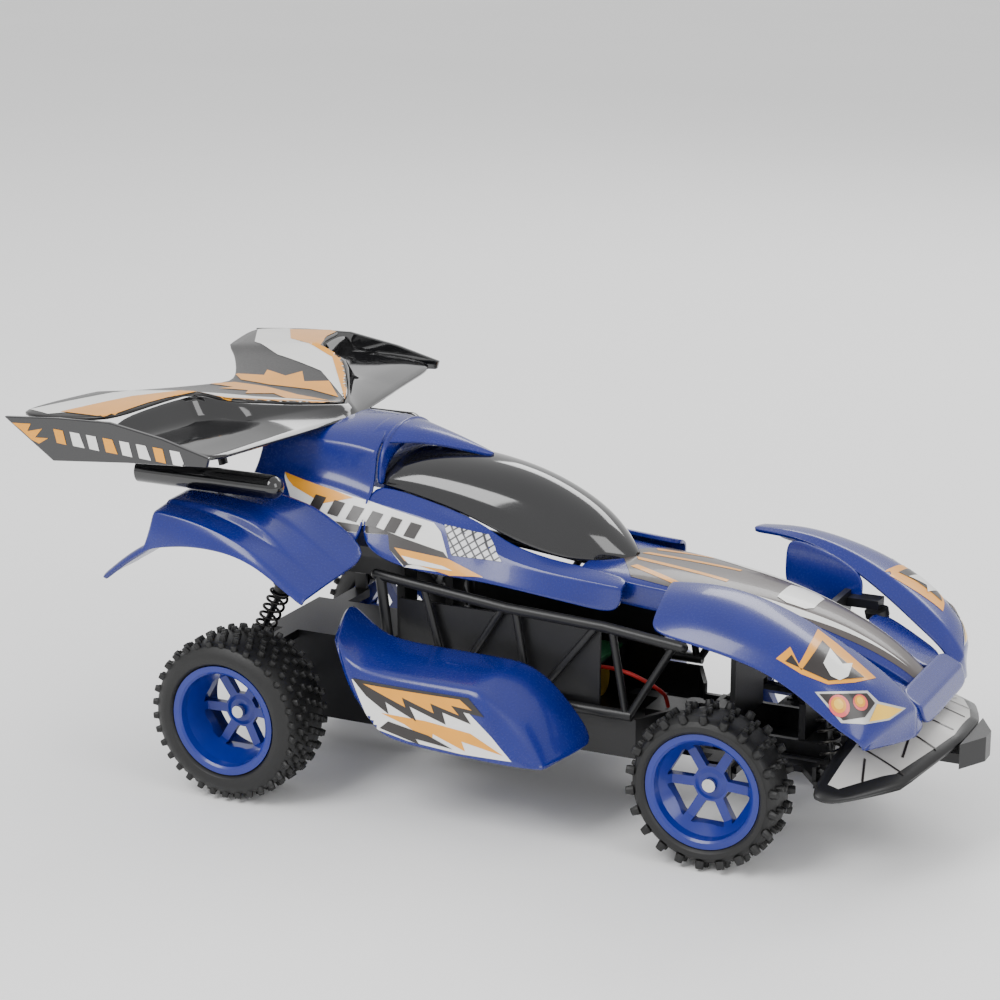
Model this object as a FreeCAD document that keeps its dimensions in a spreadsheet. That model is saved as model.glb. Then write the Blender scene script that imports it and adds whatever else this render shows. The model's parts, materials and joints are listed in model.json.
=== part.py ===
"""Toy remote control buggy, millimetres, +X forward, +Y left, +Z up.

The origin is on the ground, midway between the axles and on the centre plane.
"""
import FreeCAD, Part
import math
import os

from FreeCAD import Placement, Rotation, Vector

SIZES = {
    "wheelbase": 220, "ground_clear": 31,
    "rear_tyre_rad": 38.6, "front_tyre_rad": 35.4, "rim_rad": 25.4,
    "rear_lip_y": 95.3, "rear_tyre_wide": 32.5, "rear_dish": 16.5,
    "front_lip_y": 73.5, "front_tyre_wide": 21, "front_dish": 10.8,
    "tub_rear_x": -56, "tub_front_x": 150, "tub_half_y": 40, "tub_neck_y": 20,
    "tub_high": 18, "neck_high": 13, "wall": 2.4, "floor_thick": 3,
    "truss_y": 42, "tube_rad": 2.4, "strut_rad": 1.7,
    "arm_pivot_y": 22, "arm_pivot_z": 36, "kingpin_y": 50, "kingpin_rad": 1.5,
    "swing_x": -70, "swing_z": 42, "pin_rad": 2, "axle_rad": 2,
    "case_half_y": 24, "case_wall": 2, "run_gap": 0.06,
    "gear_module": 0.8, "gear_teeth": 36, "pinion_teeth": 10, "gear_wide": 5,
    "tie_x": 94, "tie_z": 48, "coil_rad": 4.4, "wire_rad": 0.65,
    "skin": 1.6, "plate_y": 109, "plate_thick": 2.4,
    "cell_rad": 7.1, "cell_long": 50, "screw_rad": 1.4,
}
SPOKES = 6

doc = FreeCAD.newDocument("remote_control_buggy")
sheet = doc.addObject("Spreadsheet::Sheet", "dims")
for row, (alias, value) in enumerate(SIZES.items(), start=1):
    sheet.set(f"A{row}", alias)
    sheet.set(f"B{row}", str(value))
    sheet.setAlias(f"B{row}", alias)
doc.recompute()


class Sizes:
    """Reads a driving dimension from the sheet by its alias."""

    def __getattr__(self, alias):
        return float(sheet.get(alias))


D = Sizes()
REAR_X, FRONT_X = -D.wheelbase / 2, D.wheelbase / 2
REAR_Z, FRONT_Z = D.rear_tyre_rad, D.front_tyre_rad
SIDES = {"right": -1, "left": 1}
made = {}


def keep(obj, label):
    """Registers obj as the sub-part that its label names."""
    obj.Label = label
    made[label] = obj
    return obj


def bind(obj, **sizes):
    """Sets properties from numbers, or binds them to an expression of the sheet's aliases."""
    for prop, size in sizes.items():
        if isinstance(size, str):
            obj.setExpression(prop, size)
        else:
            setattr(obj, prop, size)
    return obj


def box(name, size, corner):
    obj = doc.addObject("Part::Box", name)
    bind(obj, Length=size[0], Width=size[1], Height=size[2])
    obj.Placement = Placement(Vector(*corner), Rotation())
    return obj


def rod(name, rad, start, end=None, long=None, axis=(0, 1, 0)):
    """A cylinder from start to end, or from start along axis for a bound length."""
    obj = doc.addObject("Part::Cylinder", name)
    start = Vector(*start)
    along = Vector(*end) - start if end else Vector(*axis)
    bind(obj, Radius=rad, Height=long if long is not None else along.Length)
    obj.Placement = Placement(start, Rotation(Vector(0, 0, 1), along))
    return obj


def taper(name, rad1, rad2, start, end):
    obj = doc.addObject("Part::Cone", name)
    along = Vector(*end) - Vector(*start)
    bind(obj, Radius1=rad1, Radius2=rad2, Height=along.Length)
    obj.Placement = Placement(Vector(*start), Rotation(Vector(0, 0, 1), along))
    return obj


def fuse(name, shapes):
    obj = doc.addObject("Part::MultiFuse", name)
    obj.Shapes = shapes
    return obj


def cut(name, base, tools):
    obj = doc.addObject("Part::Cut", name)
    obj.Base = base
    obj.Tool = tools[0] if len(tools) == 1 else fuse(name + "_tools", tools)
    return obj


def group(name, shapes):
    """Separate solids in one node."""
    obj = doc.addObject("Part::Compound", name)
    obj.Links = shapes
    return obj


def mirror(name, source):
    """The same piece on the other side of the centre plane."""
    obj = doc.addObject("Part::Mirroring", name)
    obj.Source = source
    obj.Normal = Vector(0, 1, 0)
    return obj


def pair(stem, right):
    """Keeps a right-hand piece and its mirror image."""
    keep(right, f"{stem}_right")
    keep(mirror(f"{stem}_mirror", right), f"{stem}_left")


def feature(name, shape):
    obj = doc.addObject("Part::Feature", name)
    obj.Shape = shape
    return obj


def plane_of(body, role):
    return next(f for f in body.Origin.OriginFeatures if f.Role == role)


def profile(body, name, points, plane="XY_Plane"):
    """A closed sketch of straight lines on one of the body's origin planes."""
    sketch = body.newObject("Sketcher::SketchObject", name)
    sketch.AttachmentSupport = [(plane_of(body, plane), "")]
    sketch.MapMode = "FlatFace"
    for (x1, y1), (x2, y2) in zip(points, points[1:] + points[:1]):
        sketch.addGeometry(Part.LineSegment(Vector(x1, y1, 0), Vector(x2, y2, 0)), False)
    return sketch


def turned(name, points):
    """A body turned about its own Y axis from a profile of (radius, along) points."""
    body = doc.addObject("PartDesign::Body", name)
    sketch = profile(body, name + "_profile", points)
    turn = body.newObject("PartDesign::Revolution", name + "_turn")
    turn.Profile = sketch
    turn.ReferenceAxis = (sketch, ["V_Axis"])
    turn.Angle = 360
    doc.recompute()
    return body


def padded(name, points, long, plane="XY_Plane"):
    body = doc.addObject("PartDesign::Body", name)
    sketch = profile(body, name + "_profile", points, plane)
    pad = body.newObject("PartDesign::Pad", name + "_pad")
    pad.Profile = sketch
    bind(pad, Length=long)
    doc.recompute()
    return body


def pocket(body, name, points, deep, plane, base_z, patterned=0):
    """Cuts a sketched outline from base_z upwards, and repeats it round the body's Y axis if asked."""
    sketch = profile(body, name + "_profile", points, plane)
    sketch.AttachmentOffset = Placement(Vector(0, 0, base_z), Rotation())
    hole = body.newObject("PartDesign::Pocket", name)
    hole.Profile = sketch
    bind(hole, Length=deep)
    hole.Reversed = True
    doc.recompute()
    if patterned:
        ring = body.newObject("PartDesign::PolarPattern", name + "_ring")
        ring.Originals = [hole]
        ring.Axis = (plane_of(body, "Y_Axis"), [""])
        ring.Angle = 360
        ring.Occurrences = patterned
        body.Tip = ring
        doc.recompute()
    return body


def grid_normals(grid):
    """Unit normals at the points of a grid, from its neighbours."""
    rows, cols = len(grid), len(grid[0])
    out = []
    for i in range(rows):
        line = []
        for j in range(cols):
            down = grid[min(i + 1, rows - 1)][j] - grid[max(i - 1, 0)][j]
            across = grid[i][min(j + 1, cols - 1)] - grid[i][max(j - 1, 0)]
            normal = down.cross(across)
            line.append(normal / normal.Length)
        out.append(line)
    return out


def skin(name, rows, inward=1.0):
    """A closed moulded skin of the sheet's thickness under a grid of surface points."""
    outer = [[Vector(*p) for p in line] for line in rows]
    normals = grid_normals(outer)
    inner = [[p - n * (D.skin * inward) for p, n in zip(pl, nl)] for pl, nl in zip(outer, normals)]
    faces = []

    def quad(a, b, c, d):
        for corner in ((a, b, c), (a, c, d)):
            if (corner[1] - corner[0]).cross(corner[2] - corner[0]).Length > 1e-6:
                faces.append(Part.Face(Part.makePolygon([*corner, corner[0]])))

    for i in range(len(outer) - 1):
        for j in range(len(outer[0]) - 1):
            for g in (outer, inner):
                quad(g[i][j], g[i + 1][j], g[i + 1][j + 1], g[i][j + 1])
    for side in (0, -1):
        for i in range(len(outer) - 1):
            quad(outer[i][side], outer[i + 1][side], inner[i + 1][side], inner[i][side])
        for j in range(len(outer[0]) - 1):
            quad(outer[side][j], outer[side][j + 1], inner[side][j + 1], inner[side][j])
    solid = Part.makeSolid(Part.makeShell(faces))
    if solid.Volume < 0:
        solid.reverse()
    return feature(name, solid)


def both(half):
    """A grid line from the right edge over the centre to the left edge."""
    return half + [(x, -y, z) for x, y, z in reversed(half[:-1])]


# ---------------------------------------------------------------- wheels

def wheel(stem, sign, axle_x, axle_z, lip_y, wide, dish, tyre_rad):
    """A dished six-spoke rim and its hollow tyre, turned about Y."""
    rim, lip = D.rim_rad, lip_y
    face = lip - dish
    inner = lip - wide + 1
    points = [
        (rim, lip), (rim, lip - 2.2), (rim - 1.8, lip - 3), (rim - 1.8, inner + 3),
        (rim, inner + 2), (rim, inner), (rim - 3.4, inner), (rim - 3.4, face - 3),
        (4.6, face - 3), (4.6, face - 4), (D.axle_rad + D.run_gap, face - 4),
        (D.axle_rad + D.run_gap, face + 0.6), (5.2, face + 0.6), (7, face),
        (17, face + 1.2), (rim - 4.2, lip - 4.5), (rim - 3.6, lip - 0.8), (rim - 2.6, lip),
    ]
    body = turned(f"rim_{stem}", points)
    half_in, half_out = math.radians(14.5), math.radians(24)
    window = [(r * math.sin(a), r * math.cos(a))
              for r, a in ((8, -half_in), (19, -half_out), (19, half_out), (8, half_in))]
    pocket(body, f"rim_{stem}_window", window, 8, "XZ_Plane", -(face + 3), SPOKES)
    if sign < 0:
        place = Placement(Vector(axle_x, 0, axle_z), Rotation(Vector(0, 0, 1), 180))
    else:
        place = Placement(Vector(axle_x, 0, axle_z), Rotation())
    body.Placement = place
    keep(body, f"{stem}_rim")
    rubber, out, mid = 2.2, lip + 1.2, lip - wide / 2
    tread = tyre_rad - 0.2
    low = lip - wide
    tyre = turned(f"tyre_{stem}", [
        (rim + 0.2, lip - 0.4), (rim + 2.5, out), (tread - 6, out + 0.6), (tread - 3, out - 1.2),
        (tread - 0.4, out - 4), (tread + 0.2, mid), (tread - 0.4, low + 3), (tread - 3, low),
        (rim + 2.5, low - 0.2), (rim + 0.2, low + 1.4), (rim + 0.2, low + 3.6),
        (rim + 3, low + rubber), (tread - 4, low + 2.6), (tread - 2.6, low + 5), (tread - 2.2, mid),
        (tread - 2.6, out - 6), (tread - 5, out - 2.6), (rim + 3, out - rubber), (rim + 0.2, lip - 2.4),
    ])
    tyre.Placement = place
    keep(tyre, f"{stem}_tyre")


for side, sign in SIDES.items():
    wheel(f"rear_{side}", sign, REAR_X, REAR_Z, D.rear_lip_y, D.rear_tyre_wide, D.rear_dish,
          D.rear_tyre_rad)
    wheel(f"front_{side}", sign, FRONT_X, FRONT_Z, D.front_lip_y, D.front_tyre_wide,
          D.front_dish, D.front_tyre_rad)

# ---------------------------------------------------------------- chassis tub and frame

tub_z = D.ground_clear
tub_top = tub_z + D.tub_high
plan = [(D.tub_rear_x, -D.tub_half_y), (66, -D.tub_half_y), (76, -D.tub_neck_y),
        (D.tub_front_x, -D.tub_neck_y), (D.tub_front_x, D.tub_neck_y), (76, D.tub_neck_y),
        (66, D.tub_half_y), (D.tub_rear_x, D.tub_half_y)]
w = D.wall
tub = padded("tub", plan, "dims.tub_high")
well = [(D.tub_rear_x + w, -D.tub_half_y + w), (65, -D.tub_half_y + w), (75, -D.tub_neck_y + w),
        (D.tub_front_x - w, -D.tub_neck_y + w), (D.tub_front_x - w, D.tub_neck_y - w),
        (75, D.tub_neck_y - w), (65, D.tub_half_y - w), (D.tub_rear_x + w, D.tub_half_y - w)]
pocket(tub, "tub_well", well, "dims.tub_high", "XY_Plane", D.floor_thick)
tub.Placement = Placement(Vector(0, 0, tub_z), Rotation())
neck_gap = box("neck_gap", (D.tub_front_x - 76 + 1, 60, 10), (76, -30, tub_z + D.neck_high))
lugs = [box(f"swing_lug_{s}", (18, 4, 12), (D.swing_x - 4, sign * 29 - 2, D.swing_z - 6))
        for s, sign in SIDES.items()]
lug_bores = [rod(f"swing_lug_bore_{s}", "dims.pin_rad", (D.swing_x, sign * 29 - 3, D.swing_z), long=6)
             for s, sign in SIDES.items()]
rails = [box(f"board_rail_{x}", (6, 66, 2), (x - 3, -33, 56)) for x in (-29, 28)]
posts = [rod(f"rail_post_{x}_{y}", 2.2, (x, y, tub_z + 3), (x, y, 56)) for x in (-29, 28) for y in (-33, 33)]
side_walls = [box(f"tub_side_wall_{s}", (98, 1.6, 44), (-50, sign * 37.6 - 0.8, 44))
              for s, sign in SIDES.items()]
trunnions = []
for side, sign in SIDES.items():
    py = sign * (D.arm_pivot_y + 2.6)
    for end, x in (("rear", 94.4), ("front", 147.6)):
        trunnions.append(box(f"arm_lug_{side}_{end}", (4, 10, 9), (x, py - 5 - sign * 0.5, 31.5)))
    trunnions.append(rod(f"arm_stub_rear_{side}", 1.5, (98, py, D.arm_pivot_z), (102, py, D.arm_pivot_z)))
    trunnions.append(rod(f"arm_stub_front_{side}", 1.5, (144, py, D.arm_pivot_z), (148, py, D.arm_pivot_z)))
neck_high = cut("tub_low_neck", tub, [neck_gap])
switch_slot = box("switch_slot", (9, 3.4, 5), (43.5, 16.3, tub_z - 1))
tub_whole = fuse("tub_whole", [neck_high, *lugs, *rails, *posts, *side_walls, *trunnions])
keep(cut("tub_bored", tub_whole, [*lug_bores, switch_slot]), "chassis_tub")

keep(box("battery_lid", (74, 58, 1.6), (-44, -29, tub_z - 1.6)), "battery_cover")
cells = [rod(f"cell_{n}", "dims.cell_rad", (-26, y, tub_z + 3 + 7.2), long="dims.cell_long",
             axis=(1, 0, 0)) for n, y in enumerate((-21.6, -7.2, 7.2, 21.6))]
keep(group("cells", cells), "battery_cells")
keep(box("board", (64, 50, 1.6), (-32, -25, 58)), "circuit_board")
chips = [box("chip_main", (16, 9, 2.6), (-8, -4, 59.6)), box("crystal", (4, 10, 7), (18, -18, 59.6)),
         rod("capacitor", 3.2, (-22, 12, 59.6), (-22, 12, 69)),
         box("radio_coil", (7, 7, 7), (16, 8, 59.6))]
keep(group("board_parts", chips), "board_components")

TOP_NODES = [(-60, 99), (5, 92), (52, 90), (88, 86)]
STRUTS = [((-36, 96), (-24, 52)), ((3, 92), (-22, 52)), ((9, 92), (16, 52)),
          ((48, 90), (18, 52)), ((55, 90), (62, 52)), ((84, 86), (64, 52))]
ty = -D.truss_y
tubes = [rod(f"top_tube_{n}", "dims.tube_rad", (a[0], ty, a[1]), (b[0], ty, b[1]))
         for n, (a, b) in enumerate(zip(TOP_NODES, TOP_NODES[1:]))]
knuckles = []
for n, (x, z) in enumerate(TOP_NODES):
    ball = doc.addObject("Part::Sphere", f"tube_joint_{n}")
    bind(ball, Radius="dims.tube_rad")
    ball.Placement = Placement(Vector(x, ty, z), Rotation())
    knuckles.append(ball)
rail = rod("low_rail", "dims.tube_rad", (-54, ty, tub_top + 2.4), (65, ty, tub_top + 2.4))
struts = [rod(f"strut_{n}", "dims.strut_rad", (a[0], ty, a[1]), (b[0], ty, b[1]))
          for n, (a, b) in enumerate(STRUTS)]
rear_leg = rod("rear_leg", "dims.tube_rad", (-58, ty, 99), (-52, ty, tub_top + 2.4))
pair("side_frame", fuse("truss", tubes + knuckles + [rail, rear_leg] + struts))
# ---------------------------------------------------------------- towers

tower_post = box("tower_post", (4, 60, 57.6), (-56, -30, tub_top))
tower_window = box("tower_window", (10, 36, 42), (-59, -18, 54))
tower_wide = box("tower_wide", (24, 116, 4.6), (-104, -58, 106.6))
tower_deck = box("tower_deck", (52, 84, 4.6), (-104, -42, 106.6))
braces = [box(f"tower_brace_{s}", (50, 3, 14), (-102, sign * 25 - 1.5, 93)) for s, sign in SIDES.items()]
keep(fuse("tower_fuse", [cut("tower_frame", tower_post, [tower_window]), tower_wide, tower_deck, *braces]),
     "rear_tower")
plate = padded("tower_plate", [(-19, 0), (19, 0), (19, 16), (40, 44), (40, 52), (-40, 52),
                               (-40, 44), (-19, 16)], 3, "XZ_Plane")
plate.Placement = Placement(Vector(133, 0, tub_z + D.neck_high), Rotation(Vector(0, 0, 1), 90))
ears = [box(f"shock_ear_{s}", (14.5, 9, 4), (136, sign * 36.5 - 4.5, 90)) for s, sign in SIDES.items()]
bulkhead = box("bulkhead", (2.4, 36, 40), (101, -18, tub_z + D.neck_high))
spine = box("tower_spine", (33, 4, 10), (102, -2, 74))
keep(fuse("front_tower_fuse", [plate, *ears, bulkhead, spine]), "front_tower")

# ---------------------------------------------------------------- swing arm gearbox

cx, cz = D.swing_x, D.swing_z
case_x, case_z, case_long, case_high = -128, 19, 62, 41
ch, cw = D.case_half_y, D.case_wall
REAR_LOW, REAR_HIGH = (-116, -52, 63.6), (-96, -52, 103.8)
FRONT_LOW, FRONT_HIGH = (157, -43, 41.4), (148.3, -37.2, 88.6)


def case_half(side, sign):
    """One half of the gearbox shell, open at the centre plane."""
    low = -ch if sign < 0 else 0
    shell = box(f"case_{side}_outer", (case_long, ch, case_high), (case_x, low, case_z))
    room_y = low + cw if sign < 0 else low
    room = box(f"case_{side}_room", (case_long - 2 * cw, ch - cw, case_high - 2 * cw),
               (case_x + cw, room_y, case_z + cw))
    bores = [rod(f"case_{side}_axle_bore", "dims.axle_rad + dims.run_gap", (REAR_X, low - 1, REAR_Z),
                 long=ch + 2),
             rod(f"case_{side}_pin_bore", "dims.pin_rad + dims.run_gap", (cx, low - 1, cz), long=ch + 2)]
    arm_y = low - 22 if sign < 0 else ch
    arm = box(f"case_{side}_arm", (8, 22, 4), (-120, arm_y, 56))
    ear = box(f"case_{side}_ear", (6, 2, 12), (-119, sign * 45 - 1, 56))
    pin = rod(f"case_{side}_pin", 1.5, (REAR_LOW[0], sign * 45, REAR_LOW[2]), (REAR_LOW[0], sign * 57, REAR_LOW[2]))
    return keep(cut(f"case_{side}", fuse(f"case_{side}_body", [shell, arm, ear, pin]), [room, *bores]),
                f"gearbox_case_{side}")


for side, sign in SIDES.items():
    case_half(side, sign)
keep(rod("swing_pin_rod", "dims.pin_rad", (cx, -31, cz), long=62), "swing_pivot_pin")
keep(rod("rear_axle_rod", "dims.axle_rad", (REAR_X, -D.rear_lip_y + D.rear_dish - 2, REAR_Z),
         long=2 * (D.rear_lip_y - D.rear_dish + 2)), "rear_axle")
made["rear_axle"].setExpression("Height", "2 * (dims.rear_lip_y - dims.rear_dish + 2)")
caps = []
for side, sign in SIDES.items():
    end = D.rear_lip_y - D.rear_dish + 2
    caps.append(rod(f"rear_nut_{side}", 2.8, (REAR_X, sign * end, REAR_Z), (REAR_X, sign * (end + 1.6), REAR_Z)))
keep(group("rear_nuts", caps), "rear_axle_nuts")


def gear(name, teeth, bore, centre, wide, turn):
    """A spur gear with straight-flanked teeth, about Y, with tooth 0 turned from +X towards +Z."""
    m = D.gear_module
    root, pitch, tip = m * teeth / 2 - 1.2 * m, m * teeth / 2, m * teeth / 2 + 0.85 * m
    step = 2 * math.pi / teeth
    half = {root: 0.33 * step, pitch: 0.225 * step, tip: 0.10 * step}
    outline = []
    for n in range(teeth):
        mid = n * step + turn
        for r, sgn in ((root, -1), (pitch, -1), (tip, -1), (tip, 1), (pitch, 1), (root, 1)):
            angle = mid + sgn * half[r]
            outline.append((r * math.cos(angle), r * math.sin(angle)))
    body = padded(name, outline, wide, "XZ_Plane")
    body.Placement = Placement(Vector(centre[0], centre[1], centre[2]), Rotation())
    return cut(name + "_bored", body, [rod(name + "_bore", bore, (centre[0], centre[1] - wide - 1, centre[2]),
                                           long=wide + 2)])


big, small = int(D.gear_teeth), int(D.pinion_teeth)
gear_gap = D.gear_module * (big + small) / 2 + 0.12
mesh_dir = math.atan2(cz - REAR_Z + 6, 40)
pinion_x = REAR_X + gear_gap * math.cos(mesh_dir)
pinion_z = REAR_Z + gear_gap * math.sin(mesh_dir)
keep(gear("drive_gear", big, "dims.axle_rad", (REAR_X, -8, REAR_Z), D.gear_wide, mesh_dir), "drive_gear")
pinion = gear("pinion_teeth", small, 0.5, (pinion_x, -8, pinion_z), D.gear_wide,
              mesh_dir + math.pi + math.pi / small)
shaft = rod("pinion_shaft", 1.0, (pinion_x, -14, pinion_z), long=16)
keep(fuse("pinion_fuse", [pinion, shaft]), "motor_pinion")
can = rod("motor_can", 8, (pinion_x, 2.2, pinion_z), long=19)
boss = rod("motor_boss", 3, (pinion_x, 0.6, pinion_z), long=2)
bore = rod("motor_bore", 1.06, (pinion_x, 0, pinion_z), long=8)
keep(cut("motor_cut", fuse("motor_fuse", [can, boss]), [bore]), "drive_motor")

# ---------------------------------------------------------------- dampers and springs


def coil(name, start, end, turns, rad):
    """A coil spring's wire, just clear of the seats at the two points."""
    start, end = Vector(*start), Vector(*end)
    along = (end - start).normalize()
    gap = D.wire_rad + 0.35
    long = (end - start).Length - 2 * gap
    helix = Part.makeHelix(long / turns, long, rad)
    ring = Part.Wire([Part.makeCircle(D.wire_rad, Vector(rad, 0, 0), Vector(0, 1, 0))])
    obj = feature(name, Part.Wire(helix).makePipeShell([ring], True, True))
    obj.Placement = Placement(start + along * gap, Rotation(Vector(0, 0, 1), along))
    return obj


def damper(stem, low, high, sleeve_long, rod_short, hinge_axis):
    """A damper: an eye, seat and rod below, a sleeve and seat above, and the coil spring between."""
    low, high, hinge_axis = Vector(*low), Vector(*high), Vector(*hinge_axis)
    along = (high - low).normalize()
    full = (high - low).Length

    def at(d):
        return tuple(low + along * d)

    eye = rod(f"{stem}_eye", 3.2, tuple(low - hinge_axis * 4.6), tuple(low + hinge_axis * 4.6))
    eye_bore = rod(f"{stem}_eye_bore", 1.56, tuple(low - hinge_axis * 6), tuple(low + hinge_axis * 6))
    seat = rod(f"{stem}_seat", 5.4, at(2.6), at(4.6))
    inner = rod(f"{stem}_rod", 1.4, at(4), at(full - rod_short))
    foot = cut(f"{stem}_foot", fuse(f"{stem}_foot_body", [eye, seat, inner]), [eye_bore])
    sleeve = rod(f"{stem}_sleeve", 3.6, at(full - sleeve_long), at(full - 2))
    hollow = rod(f"{stem}_hollow", 2.8, at(full - sleeve_long - 1), at(full - 5))
    cap = rod(f"{stem}_cap", 5.4, at(full - 3), at(full))
    head = cut(f"{stem}_head", fuse(f"{stem}_head_body", [sleeve, cap]), [hollow])
    return foot, head, coil(f"{stem}_coil", at(4.6), at(full - 3), 8, D.coil_rad)


rear_foot, rear_head, rear_coil = damper("rear_damper", REAR_LOW, REAR_HIGH, 20, 14, (0, 1, 0))
front_foot, front_head, front_coil = damper("front_damper", FRONT_LOW, FRONT_HIGH, 22, 9, (1, 0, 0))
for label, right in (("rear_damper_rods", rear_foot), ("rear_damper_sleeves", rear_head),
                     ("rear_springs", rear_coil), ("front_damper_sleeves", front_head)):
    keep(group(label + "_pair", [right, mirror(label + "_left", right)]), label)
pair("front_damper_rod", front_foot)
pair("front_spring", front_coil)

# ---------------------------------------------------------------- front arms, knuckles, steering

ky, kz = -D.kingpin_y, FRONT_Z
arm_plan = [(100, -22), (104, -32), (104.5, -47), (115.5, -47), (116, -33), (140, -33), (149, -45),
            (150, -48), (162, -48), (162, -38), (154, -36), (146, -31), (146, -22)]
arm = padded("arm_plate", arm_plan, 3)
arm.Placement = Placement(Vector(0, 0, 35), Rotation())
pivot_y = -D.arm_pivot_y - 2.6
barrel = rod("arm_barrel", 3, (99, pivot_y, D.arm_pivot_z), (147, pivot_y, D.arm_pivot_z))
barrel_bore = rod("arm_barrel_bore", 1.56, (98, pivot_y, D.arm_pivot_z), (148, pivot_y, D.arm_pivot_z))
boss = rod("kingpin_boss", 4, (FRONT_X, ky, kz - 5), (FRONT_X, ky, kz + 5))
neck = box("kingpin_neck", (8, 5, 6), (FRONT_X - 4, ky + 2, kz - 3))
king_bore = rod("kingpin_bore", "dims.kingpin_rad + dims.run_gap", (FRONT_X, ky, kz - 6), (FRONT_X, ky, kz + 6))
damper_ear = box("damper_ear", (1.8, 8, 7), (149, FRONT_LOW[1] - 4, 37))
damper_pin = rod("damper_pin", 1.5, (150, FRONT_LOW[1], FRONT_LOW[2]), (162, FRONT_LOW[1], FRONT_LOW[2]))
pair("front_arm", cut("arm_cut", fuse("arm_fuse", [arm, barrel, boss, neck, damper_ear, damper_pin]), [king_bore, barrel_bore]))

upper = box("knuckle_upper", (9, 11, 2.6), (FRONT_X - 4.5, ky - 7, kz + 5.3))
lower = box("knuckle_lower", (9, 11, 2.6), (FRONT_X - 4.5, ky - 7, kz - 7.9))
web = box("knuckle_web", (9, 2.4, 15.8), (FRONT_X - 4.5, ky - 7, kz - 7.9))
pin = rod("kingpin", "dims.kingpin_rad", (FRONT_X, ky, kz - 7), (FRONT_X, ky, kz + 7))
steer_arm = box("steer_arm", (20, 5, 2.6), (D.tie_x - 2.5, ky + 1, kz + 5.3))
steer_pin = rod("steer_pin", 1.2, (D.tie_x, ky + 3.5, kz + 6), (D.tie_x, ky + 3.5, D.tie_z + 5))
pair("steering_knuckle", fuse("knuckle", [upper, lower, web, pin, steer_arm, steer_pin]))
face = D.front_lip_y - D.front_dish
pair("stub_axle", fuse("stub", [rod("stub_rod", "dims.axle_rad", (FRONT_X, ky - 5, kz), (FRONT_X, -face - 1.6, kz)),
                                rod("stub_cap", 2.9, (FRONT_X, -face - 1.2, kz), (FRONT_X, -face - 2.8, kz))]))
link = box("tie_bar", (5, 86, 2.4), (D.tie_x - 2.5, -43, D.tie_z))
ends = [box(f"tie_end_{s}", (8, 8.2, 2.4), (D.tie_x - 4, sign * 46.5 - 4.1, D.tie_z)) for s, sign in SIDES.items()]
slots = [box(f"tie_slot_{s}", (5.6, 5.8, 6), (D.tie_x - 2.8, sign * 46.5 - 2.9, D.tie_z - 2))
         for s, sign in SIDES.items()]
horn_slot = box("tie_horn_slot", (5, 3.4, 6), (D.tie_x - 2.3, -1.7, D.tie_z - 2))
eye = box("tie_eye", (11, 9, 2.4), (D.tie_x - 4.5, -4.5, D.tie_z))
keep(cut("tie_cut", fuse("tie_fuse", [link, *ends, eye]), [*slots, horn_slot]), "tie_rod")
servo_x = D.tie_x - 16
keep(box("servo_box", (26, 20, 9.4), (servo_x - 20, -10, tub_z + 3)), "steering_servo")
horn = [rod("horn_boss", 4, (servo_x, 0, 43.6), (servo_x, 0, 47)), box("horn_bar", (15, 4, 2), (servo_x, -2, 45)),
        rod("horn_pin", 1.3, (D.tie_x, 0, 45), (D.tie_x, 0, 52))]
keep(fuse("horn_fuse", horn), "servo_horn")

# ---------------------------------------------------------------- underside switch and screws

switch = box("switch_body", (16, 8, 6), (40, 14, tub_z + 3))
knob = box("switch_knob", (4, 2.8, 4.4), (44, 16.6, tub_z - 1.8))
keep(cut("switch_cut", switch, [box("switch_track", (9, 3.4, 3), (43.5, 16.3, tub_z + 2))]), "switch_block")
keep(knob, "switch_slider")
screws = [rod(f"base_screw_{x}_{y}", 1.9, (x, y, tub_z - 1.4), (x, y, tub_z))
          for x in (60, 120) for y in (-14, 14)]
screws += [rod(f"tower_screw_{y}", 1.9, (136, y, 84), (138.6, y, 84)) for y in (-14, 14)]
keep(group("screws", screws), "body_screws")

# ---------------------------------------------------------------- bumper

bumper_rows = []
for x_back, x_front, y, z_back, z_front in (
        (158, 166, 77, 42, 40), (160, 190, 54, 52, 43), (164, 199, 26, 59, 49), (166, 203, 14, 61, 51)):
    bumper_rows.append(((x_back, y, z_back), (x_front, y, z_front)))
rows = [[(x, -y, z) for x, y, z in line] for line in bumper_rows]
rows.append([(166, 0, 62), (203, 0, 52)])
rows += [[(x, y, z) for x, y, z in line] for line in reversed(bumper_rows)]
keep(skin("bumper_plate", rows, 2.0), "front_bumper")
nose_block = padded("bumper_nose", [(203.5, -18), (211, -4), (211, 4), (203.5, 18)], 11)
nose_block.Placement = Placement(Vector(0, 0, 42), Rotation())
stay = box("bumper_stay", (54.5, 24, 4.4), (150, -12, 42))
keep(fuse("bumper_base_fuse", [nose_block, stay]), "bumper_base")

# ---------------------------------------------------------------- body shell

HOOD = [(33, 27, 110, 112), (60, 28, 107, 110.5), (90, 26, 105, 108.5), (115, 23, 101, 105),
        (140, 19, 94, 99), (160, 15, 86, 91), (176, 11, 77, 81), (187, 8, 68, 70)]
keep(skin("hood_skin", [both([(x, -y, edge - 12 + max(0, x - 150) / 4), (x, -y, edge), (x, -y / 2, top - 0.8), (x, 0, top)])
                        for x, y, edge, top in HOOD]), "hood")

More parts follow.
